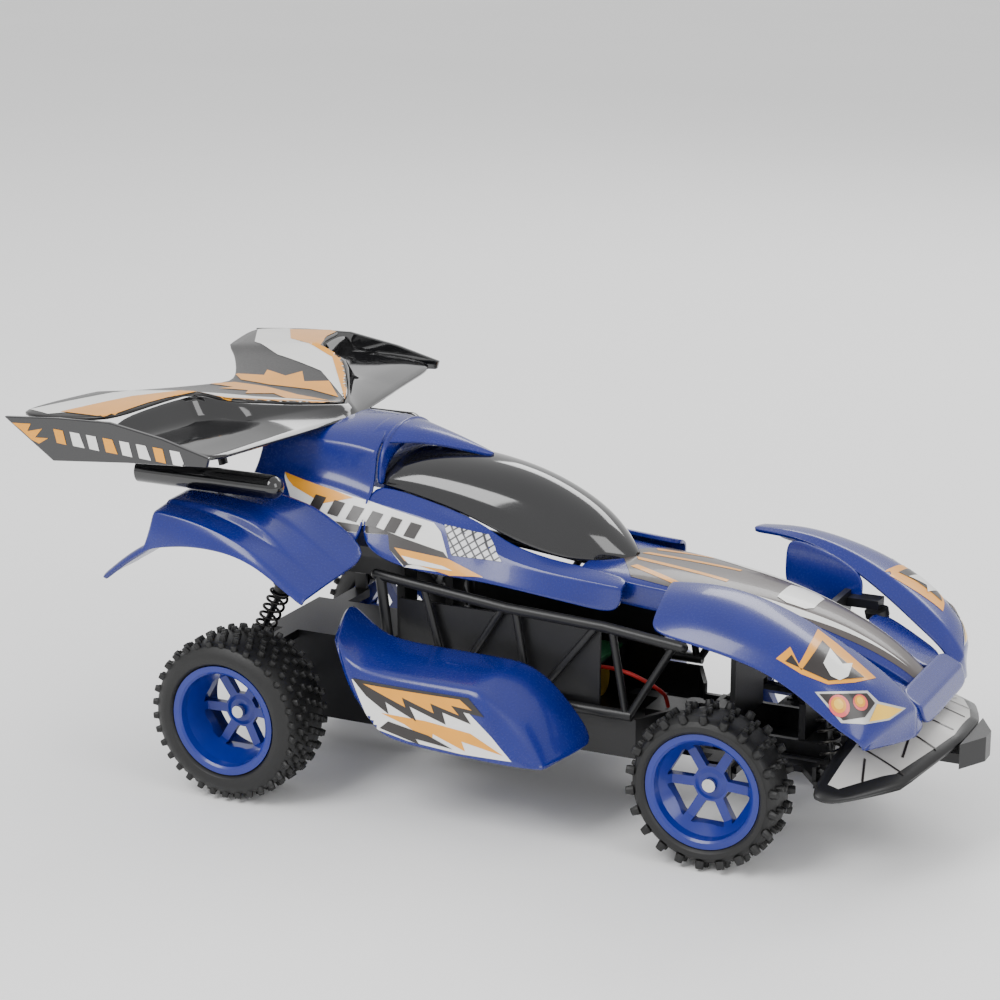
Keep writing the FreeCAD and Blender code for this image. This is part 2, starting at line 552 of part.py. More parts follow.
COWL = [
    [(85.5, -47, 115), (86, -50, 116), (87, -62, 115), (88, -74, 108), (88, -79, 104)],
    [(104, -44, 116), (104, -48, 117.2), (105, -61, 117), (106, -74, 110), (106, -79.5, 101.5)],
    [(122, -42, 112), (122.5, -47, 114.6), (123, -62, 113.5), (124, -75, 107), (125, -80, 98.5)],
    [(140, -40, 103), (140.5, -46, 108), (141, -63, 108.5), (142, -75, 102), (143, -80, 93)],
    [(155, -38, 93.5), (156, -44, 100), (157, -63, 101), (157.5, -75, 94), (157, -79.5, 84)],
    [(168, -36, 84), (170, -42, 91), (172, -60, 92), (171, -72, 86), (170.5, -77.5, 73)],
    [(180, -33, 77), (182, -39, 82), (183, -55, 83), (180, -67, 78.5), (177, -75, 69)],
    [(187, -30, 70), (188.5, -38, 73), (187, -52, 73.5), (183, -64, 71.5), (178, -74, 67)],
    [(190.5, -30, 62.5), (189.5, -42, 62), (185.5, -53, 63), (182, -62, 64.4), (177, -72, 65.5)],
]
fender = skin("cowl_skin", COWL)
wall_out = [[(104, -44, 114), (104, -43, 92)], [(122, -42, 109), (122, -41, 92)]]
inner_wall_skin = skin("cowl_inner_wall", wall_out)
nose = skin("nose_skin", [[(180, y, 75.5), (188.6, y, 70.5), (191, y, 63)] for y in (-31, -15, 0, 15, 31)], -1.0)
halves = [fender, mirror("fender_left", fender), inner_wall_skin, mirror("inner_wall_left", inner_wall_skin)]
keep(fuse("cowl_fuse", [nose, *halves]), "nose_cowl")

ROOF = [(-125, 46, 113, 39, 138, 34, 141, 27, 155, 158), (-95, 47, 113, 37, 137, 32, 140, 28, 156, 160.5),
        (-68, 47, 112, 36, 131.5, 31, 134, 28, 153, 162)]
roof = skin("roof_skin", [both([(x, -a, az), (x, -b, bz), (x, -c, c_z), (x, -d, dz), (x, 0, top)])
                        for x, a, az, b, bz, c, c_z, d, dz, top in ROOF])
FLANK = [(-67, 47, 112, 36, 131, 27.5, 136), (-45, 46, 105, 36, 127.5, 27.5, 132),
         (-28, 45, 104, 35, 124, 28.5, 128), (-5, 42, 102.5, 35, 115, 28, 119),
         (20, 40.5, 100, 37, 109.5, 27, 112), (40, 39, 97.5, 37, 108, 27, 111), (57, 38, 95, 37, 107, 28.6, 109)]
flank = skin("flank_skin", [[(x, -a, az), (x, -b, bz), (x, -c, c_z)] for x, a, az, b, bz, c, c_z in FLANK])
keep(fuse("cockpit_fuse", [roof, flank, mirror("flank_left", flank)]), "cockpit_shell")

CANOPY = [(-67, 25, 137, 147), (-45, 26, 133, 150.5), (-20, 27, 127, 149), (3, 26, 117, 144.5),
          (23, 23, 112, 136), (40, 14, 110.5, 124), (48.5, 3, 110, 112)]
dome = []
for x, half_wide, base, top in CANOPY:
    dome.append([(x, -half_wide * math.cos(math.radians(a)), base + (top - base) * math.sin(math.radians(a)))
                 for a in range(0, 181, 20)])
keep(skin("canopy_skin", dome), "canopy")

FENDER_Y = (97, 96, 94, 84, 82, 70, 68, 50)
FENDER_Z = {
    -170: (97, 98.5, 99.4, 99.6, 99.8, 100, 100.3, 101),
    -158: (106.5, 108.5, 109.4, 109.8, 110, 110.4, 110.6, 111),
    -148: (112.6, 114.8, 115.6, 116, 116.2, 117, 117.2, 118),
    -143: (115, 126, 131.5, 133, 134, 134.6, 134.8, 135.2),
    -125: (118.6, 126, 130, 131.6, 134, 134.6, 134.8, 135.2),
    -105: (118, 121.5, 124.5, 126.6, 131, 132.5, 133, 134),
    -93: (114.5, 117, 119, 121, 125.6, 127.2, 129, 131),
    -84: (110, 112.6, 114, 117.6, 118.4, 123, 124, 129),
    -67: (98.5, 100, 101.4, 104, 104.6, 107.4, 108, 112),
}
REAR_FENDER = []
for x, heights in FENDER_Z.items():
    lean = 0.22 if x > -84 else 0
    REAR_FENDER.append([(x + lean * (97 - y), -y, z) for y, z in zip(FENDER_Y, heights)])
pair("rear_fender", skin("rear_fender_skin", REAR_FENDER))
POD = [
    [(-69, -50, 86), (-66, -62, 86), (-62, -78, 78), (-50, -85, 60)],
    [(-50, -50, 73), (-52, -66, 72), (-53, -81, 68), (-43, -86, 52)],
    [(-30, -50, 71), (-30, -66, 70.5), (-30, -83, 67), (-28, -87, 40)],
    [(12, -50, 70), (12, -66, 70), (11, -84, 67), (30, -88, 38.5)],
    [(27, -50, 69), (28, -64, 66), (28, -80, 56), (42, -88, 38)],
    [(50, -48, 40), (49, -60, 39.5), (46, -74, 39), (43.5, -86, 38.2)],
]
pair("side_pod", skin("pod_skin", POD))


# ---------------------------------------------------------------- wing and exhausts

WING = [
    [(-209, -106.2, 169.8), (-183, -106.2, 171.3), (-157, -106.2, 172.8), (-153, -106.2, 163.4), (-105.5, -106.2, 160)],
    [(-202, -80, 171), (-177, -80, 174), (-151, -80, 176), (-146, -80, 163.8), (-103.5, -80, 159.4)],
    [(-196, -57, 171.4), (-170, -57, 175), (-144.5, -57, 178.4), (-139, -57, 164.4), (-101, -57, 158.8)],
    [(-186, -46, 170.4), (-160, -46, 173), (-127, -50, 174), (-121, -49, 165), (-99.5, -48, 158.6)],
    [(-170, -22, 169), (-145, -24, 170.6), (-113, -26, 169.6), (-108, -25, 164.6), (-97, -24, 158.4)],
    [(-158, 0, 168.6), (-132, 0, 168), (-103, 0, 165.6), (-98, 0, 162.6), (-92, 0, 158.4)],
]
wing_rows = WING + [[(x, -y, z) for x, y, z in line] for line in reversed(WING[:-1])]
posts = [box(f"wing_post_{s}", (18, 4, 31.4), (-142, sign * 38 - 2, 139)) for s, sign in SIDES.items()]
keep(fuse("wing_fuse", [skin("wing_skin", wing_rows, -1.0), *posts]), "rear_wing")
plate_side = [(-211, 170.5), (-155, 173), (-104, 163), (-105.5, 158.6), (-185, 152.5)]
endplate = padded("endplate", plate_side, "dims.plate_thick", "XZ_Plane")
endplate.Placement = Placement(Vector(0, -D.plate_y + D.plate_thick, 0), Rotation())
keep(group("endplates", [endplate, mirror("endplate_left", endplate)]), "wing_endplates")
pipe = rod("pipe", 5.5, (-168, -66, 140.7), (-99, -66, 140.7))
dome_end = doc.addObject("Part::Sphere", "pipe_end")
dome_end.Radius = 5.5
dome_end.Placement = Placement(Vector(-99, -66, 140.7), Rotation())
pipe_bore = rod("pipe_bore", 4, (-169, -66, 140.7), (-152, -66, 140.7))
exhaust = cut("exhaust_cut", fuse("exhaust_fuse", [pipe, dome_end]), [pipe_bore])
keep(group("exhaust_pair", [exhaust, mirror("exhaust_left", exhaust)]), "exhausts")

# ---------------------------------------------------------------- servo lead


def lead(name, points, rad):
    """A wire of straight runs joined by arcs tangent to them."""
    pts = [Vector(*p) for p in points]
    edges, start = [], pts[0]
    for a, b, c in zip(pts, pts[1:], pts[2:]):
        into, out = (b - a), (c - b)
        turn = into.getAngle(out)
        reach = 0.45 * min(into.Length, out.Length)
        p1, p2 = b - into.normalize() * reach, b + out.normalize() * reach
        bow = (p1 + p2) / 2 - b
        radius = reach / math.tan(turn / 2)
        away = bow.Length - (radius / math.cos(turn / 2) - radius)
        mid = b + bow.normalize() * (radius / math.cos(turn / 2) - radius)
        edges += [Part.LineSegment(start, p1).toShape(), Part.Arc(p1, mid, p2).toShape()]
        start = p2
    edges.append(Part.LineSegment(start, pts[-1]).toShape())
    path = Part.Wire(edges)
    first = (pts[1] - pts[0])
    ring = Part.Wire([Part.makeCircle(rad, pts[0], first)])
    return feature(name, path.makePipeShell([ring], True, False))


LEAD = [(32, -16, 60.5), (44, -20, 64), (57, -22, 63), (66, -16, 56), (67, -8, 50), (67, -5, 44)]
keep(lead("servo_wire", LEAD, 0.9), "servo_lead")

# ---------------------------------------------------------------- checks and export

SEATS = {"hood": ["canopy", "cockpit_shell"], "front_tower": ["hood"], "nose_cowl": ["hood"],
         "cockpit_shell": ["rear_wing"]}
for label, others in SEATS.items():
    whole_piece = made[label]
    whole_piece.Label = label + "_unseated"
    keep(cut(label + "_seated", whole_piece, [made[other] for other in others]), label)

doc.recompute()
bad = [o.Label for o in doc.Objects if "Invalid" in o.State or "Error" in o.State]
if bad:
    raise SystemExit(f"objects failed: {bad}")
os.makedirs("parts", exist_ok=True)
for old in os.listdir("parts"):
    os.remove(os.path.join("parts", old))
whole = Part.makeCompound([o.Shape for o in made.values()])
for label, obj in made.items():
    shape = obj.Shape
    if shape.isNull() or not shape.isValid() or shape.Volume <= 0 or not shape.Solids:
        raise SystemExit(f"{label} is null, open or invalid: volume {shape.Volume}")
    shape.exportStep(f"parts/{label}.step")
print(len(made), "nodes", whole.BoundBox)
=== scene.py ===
import json
import math

import bmesh
import bpy
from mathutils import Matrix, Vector
from mathutils.bvhtree import BVHTree
from mathutils.geometry import delaunay_2d_cdt


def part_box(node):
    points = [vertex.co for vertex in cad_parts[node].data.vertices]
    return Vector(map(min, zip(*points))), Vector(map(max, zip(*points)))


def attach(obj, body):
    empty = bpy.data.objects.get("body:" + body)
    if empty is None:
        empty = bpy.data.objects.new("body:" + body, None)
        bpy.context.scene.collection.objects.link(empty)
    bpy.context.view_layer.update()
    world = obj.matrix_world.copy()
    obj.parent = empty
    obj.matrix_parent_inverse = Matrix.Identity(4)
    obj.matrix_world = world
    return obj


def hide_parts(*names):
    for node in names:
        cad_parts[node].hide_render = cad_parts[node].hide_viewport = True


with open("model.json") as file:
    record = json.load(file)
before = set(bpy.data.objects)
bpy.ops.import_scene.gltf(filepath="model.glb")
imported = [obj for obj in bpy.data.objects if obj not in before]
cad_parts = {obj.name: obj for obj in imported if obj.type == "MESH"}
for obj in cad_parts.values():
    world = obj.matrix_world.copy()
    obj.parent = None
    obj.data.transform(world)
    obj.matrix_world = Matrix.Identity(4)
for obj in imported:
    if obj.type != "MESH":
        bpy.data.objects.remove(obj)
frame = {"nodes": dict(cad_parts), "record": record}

MM = 0.001
SKIN = 1.6  # wall of the thin mouldings, mm
THICK_SKIN = 2.0
EDGE_CREASE, RIDGE_CREASE = 0.75, 0.9
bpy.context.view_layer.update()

# ------------------------------------------------------------------ materials


def node_material(name):
    material = bpy.data.materials.new(name)
    material.use_nodes = True
    nodes, links = material.node_tree.nodes, material.node_tree.links
    shader = nodes["Principled BSDF"]
    where = nodes.new("ShaderNodeTexCoord").outputs["Object"]
    return material, nodes, links, shader, where


def noise(nodes, links, where, scale, detail):
    texture = nodes.new("ShaderNodeTexNoise")
    texture.inputs["Scale"].default_value = scale
    texture.inputs["Detail"].default_value = detail
    links.new(where, texture.inputs["Vector"])
    return texture.outputs["Fac"]


def ramp(nodes, links, source, stops):
    node = nodes.new("ShaderNodeValToRGB")
    elements = node.color_ramp.elements
    while len(elements) < len(stops):
        elements.new(0.5)
    for element, (at, colour) in zip(elements, stops):
        element.position = at
        element.color = (*colour, 1.0)
    links.new(source, node.inputs["Fac"])
    return node.outputs["Color"]


def spread(nodes, links, source, low, high):
    node = nodes.new("ShaderNodeMapRange")
    node.inputs["To Min"].default_value = low
    node.inputs["To Max"].default_value = high
    links.new(source, node.inputs["Value"])
    return node.outputs["Result"]


def bump(nodes, links, shader, source, depth_mm):
    node = nodes.new("ShaderNodeBump")
    node.inputs["Strength"].default_value = 1.0
    node.inputs["Distance"].default_value = depth_mm * MM
    links.new(source, node.inputs["Height"])
    links.new(node.outputs["Normal"], shader.inputs["Normal"])


def moulded(name, colour, rough, grain=900.0, depth=0.02, coat=0.0, vary=0.12, metal=0.0, wave=60.0):
    """A moulded or turned surface: slow tone change, fine grain in roughness and height."""
    material, nodes, links, shader, where = node_material(name)
    slow = noise(nodes, links, where, wave, 2.0)
    fine = noise(nodes, links, where, grain, 4.0)
    dark = tuple(c * (1 - vary) for c in colour)
    light = tuple(min(1, c * (1 + vary)) for c in colour)
    links.new(ramp(nodes, links, slow, [(0.3, dark), (0.7, light)]), shader.inputs["Base Color"])
    links.new(spread(nodes, links, fine, rough * 0.8, rough * 1.25), shader.inputs["Roughness"])
    shader.inputs["Metallic"].default_value = metal
    shader.inputs["Coat Weight"].default_value = coat
    shader.inputs["Coat Roughness"].default_value = 0.06
    bump(nodes, links, shader, fine, depth)
    return material


def mesh_sticker():
    """Silver sticker with dark crossed lines."""
    material, nodes, links, shader, where = node_material("vent_mesh")
    total = None
    for turn in (0.7, -0.95):
        mapping = nodes.new("ShaderNodeMapping")
        mapping.inputs["Rotation"].default_value = (0, turn, 0)
        links.new(where, mapping.inputs["Vector"])
        wave = nodes.new("ShaderNodeTexWave")
        wave.inputs["Scale"].default_value = 105.0
        links.new(mapping.outputs["Vector"], wave.inputs["Vector"])
        if total is None:
            total = wave.outputs["Fac"]
        else:
            least = nodes.new("ShaderNodeMath")
            least.operation = "MINIMUM"
            links.new(total, least.inputs[0])
            links.new(wave.outputs["Fac"], least.inputs[1])
            total = least.outputs["Value"]
    links.new(ramp(nodes, links, total, [(0.06, (0.05, 0.05, 0.055)), (0.22, (0.72, 0.72, 0.74))]),
              shader.inputs["Base Color"])
    shader.inputs["Roughness"].default_value = 0.35
    return material


BLUE = moulded("blue_shell", (0.003, 0.011, 0.17), 0.26, coat=0.35, depth=0.006, vary=0.06)
RIM_BLUE = moulded("blue_rim", (0.004, 0.016, 0.22), 0.3, coat=0.3, depth=0.01, vary=0.06)
BLACK = moulded("black_frame", (0.006, 0.006, 0.0065), 0.38, grain=1500, depth=0.03)
GLOSS = moulded("black_gloss", (0.006, 0.006, 0.007), 0.1, coat=0.8, depth=0.003)
RUBBER = moulded("tyre", (0.006, 0.006, 0.006), 0.5, grain=1200, depth=0.05, wave=120)
DECK = moulded("wing_deck", (0.007, 0.006, 0.0063), 0.34, coat=0.2, depth=0.004, vary=0.1)
GREY = moulded("bumper_grey", (0.50, 0.49, 0.47), 0.42, coat=0.1, depth=0.012, vary=0.05)
STEEL = moulded("steel", (0.62, 0.62, 0.60), 0.28, metal=1.0, grain=2600, depth=0.01)
SPRING = moulded("spring_steel", (0.05, 0.048, 0.045), 0.3, metal=1.0, grain=2200, depth=0.01)
ACETAL = moulded("white_gear", (0.72, 0.70, 0.64), 0.4, depth=0.01)
CAN = moulded("motor_can", (0.66, 0.66, 0.66), 0.3, metal=1.0, depth=0.01)
BOARD = moulded("board_green", (0.012, 0.12, 0.04), 0.35, coat=0.3, depth=0.01)
CHIPS = moulded("chips", (0.02, 0.02, 0.02), 0.45)
CELLS = moulded("cell_wrap", (0.65, 0.42, 0.05), 0.3, coat=0.3)
WIRE = moulded("wire_red", (0.42, 0.012, 0.01), 0.42)
ORANGE = moulded("sticker_orange", (0.80, 0.33, 0.015), 0.32, coat=0.25, depth=0.003, vary=0.06)
WHITE = moulded("sticker_white", (0.80, 0.80, 0.78), 0.32, coat=0.25, depth=0.003, vary=0.03)
INK = moulded("sticker_black", (0.018, 0.014, 0.013), 0.32, coat=0.25, depth=0.003)
SMOKE = moulded("sticker_grey", (0.075, 0.062, 0.058), 0.3, coat=0.3, depth=0.003)
SILVER = moulded("sticker_silver", (0.55, 0.55, 0.54), 0.3, coat=0.2, depth=0.003, metal=0.3)
PINK = moulded("lamp_pink", (0.78, 0.10, 0.10), 0.3, coat=0.5, depth=0.003)
YELLOW = moulded("lamp_yellow", (0.95, 0.55, 0.05), 0.3, coat=0.5, depth=0.003)
VENT = mesh_sticker()

SLOTS = {
    "blue_shell": BLUE, "blue_rim": RIM_BLUE, "black_frame": BLACK, "black_gloss": GLOSS,
    "tyre": RUBBER, "wing_deck": DECK, "bumper_grey": GREY, "steel": STEEL, "spring_steel": SPRING,
    "white_gear": ACETAL, "motor_can": CAN, "board_green": BOARD, "chips": CHIPS,
    "cell_wrap": CELLS, "wire_red": WIRE,
}
slot_of = {part["node"]: part["material_slot"] for part in frame["record"]["subparts"]}
for node, obj in frame["nodes"].items():
    for material_slot in obj.material_slots:
        material_slot.material = SLOTS[slot_of[node]]

# ------------------------------------------------------------------ mesh helpers


def finish_piece(obj, body, material, nodes=()):
    obj.data.materials.append(material)
    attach(obj, body)
    if nodes:
        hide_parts(*nodes)
    return obj


def to_object(name, bm, smooth=True):
    mesh = bpy.data.meshes.new(name)
    bm.to_mesh(mesh)
    bm.free()
    for face in mesh.polygons:
        face.use_smooth = smooth
    obj = bpy.data.objects.new(name, mesh)
    bpy.context.scene.collection.objects.link(obj)
    return obj


def mirrored(rows):
    """The same grid on the other side of the centre plane."""
    return [[(x, -y, z) for x, y, z in line] for line in rows]


def both(half):
    return half + [(x, -y, z) for x, y, z in reversed(half[:-1])]


def add_skin(bm, rows, thick, sharp_rows=(), sharp_cols=()):
    """A wall of the given thickness under a grid of points, open to subdivision."""
    grid = [[Vector(p) for p in line] for line in rows]
    count, width = len(grid), len(grid[0])
    normals = []
    for i in range(count):
        line = []
        for j in range(width):
            down = grid[min(i + 1, count - 1)][j] - grid[max(i - 1, 0)][j]
            across = grid[i][min(j + 1, width - 1)] - grid[i][max(j - 1, 0)]
            normal = down.cross(across)
            line.append(normal.normalized())
        normals.append(line)
    outer = [[bm.verts.new(p * MM) for p in line] for line in grid]
    inner = [[bm.verts.new((p - n * thick) * MM) for p, n in zip(pl, nl)] for pl, nl in zip(grid, normals)]
    for i in range(count - 1):
        for j in range(width - 1):
            bm.faces.new((outer[i][j], outer[i + 1][j], outer[i + 1][j + 1], outer[i][j + 1]))
            bm.faces.new((inner[i][j], inner[i][j + 1], inner[i + 1][j + 1], inner[i + 1][j]))
    for i in range(count - 1):
        bm.faces.new((outer[i][0], inner[i][0], inner[i + 1][0], outer[i + 1][0]))
        bm.faces.new((outer[i][-1], outer[i + 1][-1], inner[i + 1][-1], inner[i][-1]))
    for j in range(width - 1):
        bm.faces.new((outer[0][j], outer[0][j + 1], inner[0][j + 1], inner[0][j]))
        bm.faces.new((outer[-1][j], inner[-1][j], inner[-1][j + 1], outer[-1][j + 1]))
    crease = bm.edges.layers.float.get("crease_edge") or bm.edges.layers.float.new("crease_edge")

    def mark(a, b, value):
        found = bm.edges.get((a, b))
        if found:
            found[crease] = max(found[crease], value)

    for grid_verts in (outer, inner):
        for i in range(count):
            for j in range(width):
                if i + 1 < count and (j in (0, width - 1) or j in sharp_cols):
                    mark(grid_verts[i][j], grid_verts[i + 1][j], EDGE_CREASE if j in (0, width - 1) else RIDGE_CREASE)
                if j + 1 < width and (i in (0, count - 1) or i in sharp_rows):
                    mark(grid_verts[i][j], grid_verts[i][j + 1], EDGE_CREASE if i in (0, count - 1) else RIDGE_CREASE)
    bmesh.ops.recalc_face_normals(bm, faces=bm.faces)


def shell(name, grids, thick, material, slot, nodes, body="chassis", levels=3, **marks):
    bm = bmesh.new()
    for rows in grids:
        add_skin(bm, rows, thick, **marks)
    obj = to_object(name, bm)
    rounding = obj.modifiers.new("round", "SUBSURF")
    rounding.levels = rounding.render_levels = levels
    return finish_piece(obj, body, material, nodes)


def lathe(bm, profile, centre, steps=96):
    """A closed ring turned about an axis along Y, from (radius, y) points in mm."""
    cx, cz = centre
    rings = []
    for n in range(steps):
        turn = 2 * math.pi * n / steps
        rings.append([bm.verts.new(((cx + r * math.cos(turn)) * MM, y * MM, (cz + r * math.sin(turn)) * MM))
                      for r, y in profile])
    for n in range(steps):
        here, there = rings[n], rings[(n + 1) % steps]
        for k in range(len(profile)):
            m = (k + 1) % len(profile)
            bm.faces.new((here[k], there[k], there[m], here[m]))


def peg(bm, base, out, side, high, wide_base, wide_top, sides=8, long=1.0):
    """A tapered stud: base centre, unit outward direction, unit side direction."""
    across = out.cross(side).normalized()
    low, top = [], []
    for n in range(sides):
        turn = 2 * math.pi * (n + 0.5) / sides
        ray = side * math.cos(turn) * long + across * math.sin(turn)
        low.append(bm.verts.new((base + ray * wide_base) * MM))
        top.append(bm.verts.new((base + out * high + ray * wide_top) * MM))
    for n in range(sides):
        m = (n + 1) % sides
        bm.faces.new((low[n], low[m], top[m], top[n]))
    bm.faces.new(top)
    bm.faces.new(list(reversed(low)))


# ------------------------------------------------------------------ tyres


def tyre(node, body, sign, rear):
    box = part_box(node)
    low, high = [c / MM for c in box]
    cx, cz = (low.x + high.x) / 2, (low.z + high.z) / 2
    reach = (high.z - low.z) / 2 - 0.25
    inner_y, outer_y = (high.y, low.y) if sign < 0 else (low.y, high.y)
    wide = abs(outer_y - inner_y)
    stud = 2.5 if rear else 2.8
    skin_r = reach - stud
    bead = 25.7
    at = lambda share: inner_y + (outer_y - inner_y) * share
    profile = [
        (bead, at(0.93)), (bead + 1.2, at(0.985)), (bead + 3.6, at(0.995)), (skin_r - 4.5, at(0.985)),
        (skin_r - 1.6, at(0.93)), (skin_r - 0.3, at(0.83)), (skin_r, at(0.66)), (skin_r + 0.15, at(0.5)),
        (skin_r, at(0.34)), (skin_r - 0.3, at(0.17)), (skin_r - 1.6, at(0.07)), (skin_r - 4.5, at(0.015)),
        (bead + 3.6, at(0.005)), (bead + 1.2, at(0.015)), (bead, at(0.07)), (bead, at(0.2)),
        (bead + 1.5, at(0.3)), (bead + 1.5, at(0.7)), (bead, at(0.8)),
    ]
    bm = bmesh.new()
    lathe(bm, profile, (cx, cz))
    if rear:
        for n in range(34):
            for k in range(7):
                turn = 2 * math.pi * (n + 0.5 * (k % 2) + 0.16 * abs(k - 3)) / 34
                out = Vector((math.cos(turn), 0, math.sin(turn)))
                share = 0.1 + 0.8 * k / 6
                drop = 1.3 if k in (0, 6) else 0.1
                centre = Vector((cx, at(share), cz)) + out * (skin_r - drop - 0.4)
                lean = out if k not in (0, 6) else (out + Vector((0, (1 if k else -1) * 0.45 * (
                    1 if outer_y > inner_y else -1), 0))).normalized()
                along = Vector((-out.z, 0, out.x))
                peg(bm, centre, lean, along, stud + 0.25, 1.55, 1.15, long=1.25)
    else:
        for n in range(22):
            turn = 2 * math.pi * n / 22
            for end in (0, 1):
                out = Vector((math.cos(turn + 0.14 * end), 0, math.sin(turn + 0.14 * end)))
                along = Vector((-out.z, 0, out.x))
                toward = 1 if (end == 1) == (outer_y > inner_y) else -1
                lean = (out + Vector((0, 0.32 * toward, 0))).normalized()
                centre = Vector((cx, at(0.1 + 0.8 * end), cz)) + out * (skin_r - 1.5)
                peg(bm, centre, lean, along, stud + 0.8, 2.0, 1.5, long=1.15)
            for k in range(4):
                turn2 = turn + 2 * math.pi / 22 * (0.5 + 0.12 * (k % 2))
                out = Vector((math.cos(turn2), 0, math.sin(turn2)))
                along = Vector((-out.z, 0, out.x))
                centre = Vector((cx, at(0.26 + 0.16 * k), cz)) + out * (skin_r - 0.5)
                peg(bm, centre, out, along, stud + 0.3, 1.5, 1.15)
    bmesh.ops.recalc_face_normals(bm, faces=bm.faces)
    obj = to_object(node + "_tread", bm)
    soft = obj.modifiers.new("edges", "BEVEL")
    soft.width = 0.22 * MM
    soft.segments = 2
    soft.limit_method = "ANGLE"
    soft.angle_limit = math.radians(35)
    finish_piece(obj, body, RUBBER, [node])


for side, sign in (("right", -1), ("left", 1)):
    tyre(f"rear_{side}_tyre", "rear_axle", sign, True)
    tyre(f"front_{side}_tyre", f"front_wheel_{side}", sign, False)

# ------------------------------------------------------------------ shell mouldings

HOOD = [(33, 27, 110, 112), (60, 28, 107, 110.5), (90, 26, 105, 108.5), (115, 23, 101, 105),
        (140, 19, 94, 99), (160, 15, 86, 91), (176, 11, 77, 81), (187, 8, 68, 70)]
hood = shell("hood_skin", [[both([(x, -y, edge - 11 + max(0, x - 150) / 4), (x, -y, edge - 0.8),
                                  (x, -y + 2, edge + 0.6), (x, -y / 2, top - 0.5), (x, 0, top)])
                            for x, y, edge, top in HOOD]],
             SKIN, BLUE, "blue_shell", ["hood"], sharp_cols=(1, 7))

COWL = [
    [(85.5, -47, 115), (86, -50, 116), (87, -62, 115), (88, -74, 108), (88, -79, 104)],
    [(104, -44, 116), (104, -48, 117.2), (105, -61, 117), (106, -74, 110), (106, -79.5, 101.5)],
    [(122, -42, 112), (122.5, -47, 114.6), (123, -62, 113.5), (124, -75, 107), (125, -80, 98.5)],
    [(140, -40, 103), (140.5, -46, 108), (141, -63, 108.5), (142, -75, 102), (143, -80, 93)],
    [(155, -38, 93.5), (156, -44, 100), (157, -63, 101), (157.5, -75, 94), (157, -79.5, 84)],
    [(168, -36, 84), (170, -42, 91), (172, -60, 92), (171, -72, 86), (170.5, -77.5, 73)],
    [(180, -33, 77), (182, -39, 82), (183, -55, 83), (180, -67, 78.5), (177, -75, 69)],
    [(187, -30, 70), (188.5, -38, 73), (187, -52, 73.5), (183, -64, 71.5), (178, -74, 67)],
    [(190.5, -30, 62.5), (189.5, -42, 62), (185.5, -53, 63), (182, -62, 64.4), (177, -72, 65.5)],
]
WALL = [
    [(104, -44, 114.6), (104, -43, 104), (104, -42.4, 92)],
    [(114, -43.2, 113.4), (114, -42, 100), (114, -41, 88)],
    [(128, -41.6, 109.6), (128, -40.6, 97), (128, -40, 86)],
    [(141, -40, 102.6), (141, -39.6, 96), (141, -39.4, 90)],
]
nose = [[(180, y, 75.5), (188.6, y, 70.5), (191, y, 63)] for y in (-31, -15, 0, 15, 31)]
SHELF = [[(x, -outer, z), (x, -inner, z)] for x, outer, inner, z in (
    (148, 38, 17, 87), (160, 37, 14, 82), (171, 35, 12, 76.6), (181, 32.5, 10, 72))]
cowl_parts = [COWL, mirrored(COWL), WALL, mirrored(WALL), nose, SHELF, mirrored(SHELF)]
cowl = shell("cowl_skin", cowl_parts, SKIN, BLUE, "blue_shell", ["nose_cowl"], sharp_cols=(1,), sharp_rows=(7,))

ROOF = [
    (-125, 46, 113, 39, 138, 34, 141, 27, 154, 157.5),
    (-95, 47, 113, 37, 137, 32, 140, 28, 154.5, 160.5),
    (-78, 47, 112.5, 36.5, 134, 31.5, 137.5, 28, 153.5, 161.5),
    (-67, 47, 112, 36, 131, 31, 134, 28, 151.5, 161),
]
roof_rows = []
for n, (x, a, az, b, bz, c, cz, d, dz, top) in enumerate(ROOF):
    back = 6 if n == 3 else 0
    roof_rows.append(both([(x, -a, az), (x, -b, bz), (x, -c, cz), (x, -d, dz), (x, -d + 6, dz + 4),
                           (x - back / 2, -10, top - 0.6), (x - back, 0, top)]))
FLANK = [
    (-67, 47, 112, 36, 131, 27.5, 137),
    (-45, 46, 105, 36, 127.5, 27.5, 133),
    (-28, 45, 104, 35, 124, 28.5, 129.5),
    (-12, 43, 103, 34.5, 119, 27.5, 124),
    (-2, 41.5, 102, 35, 112.6, 27.5, 117),
    (20, 40.5, 99.4, 37, 109.5, 27, 112),
    (40, 39, 96.8, 37, 108, 27, 111),
    (57, 38, 94.6, 37, 107, 28.6, 109),
]
flank = [[(x, -a, az), (x, -b, bz), (x, -b + 2.5, bz + 1), (x, -c, c_z)] for x, a, az, b, bz, c, c_z in FLANK]
front_arch = []
for n in range(13):
    turn = math.radians(180 * n / 12)
    front_arch.append([(-67, -28.4 * math.cos(turn), 136 + (161 - 136) * math.sin(turn) ** 0.7 + 0.2),
                       (-66, -25.2 * math.cos(turn), 136 + (150.5 - 136) * math.sin(turn) ** 0.8)])
cockpit = shell("cockpit_skin", [roof_rows, flank, mirrored(flank)], THICK_SKIN, BLUE, "blue_shell",
                ["cockpit_shell"], sharp_cols=(1, 3, 9, 11))
shell("roof_arch", [front_arch], THICK_SKIN, BLUE, "blue_shell", [], levels=2)
TONGUE = [(-74, 25, 154.5, 161.4), (-63, 18.5, 154.6, 160.6), (-54, 13, 154.6, 159), (-45, 9.6, 153.6, 157),
          (-33, 6, 151.6, 153.8), (-22, 1.8, 149.4, 150.2)]
tongue = [both([(x, -half, low), (x, -half * 0.55, top - 0.9), (x, 0, top)]) for x, half, low, top in TONGUE]
shell("roof_tongue", [tongue], 1.4, BLUE, "blue_shell", [])

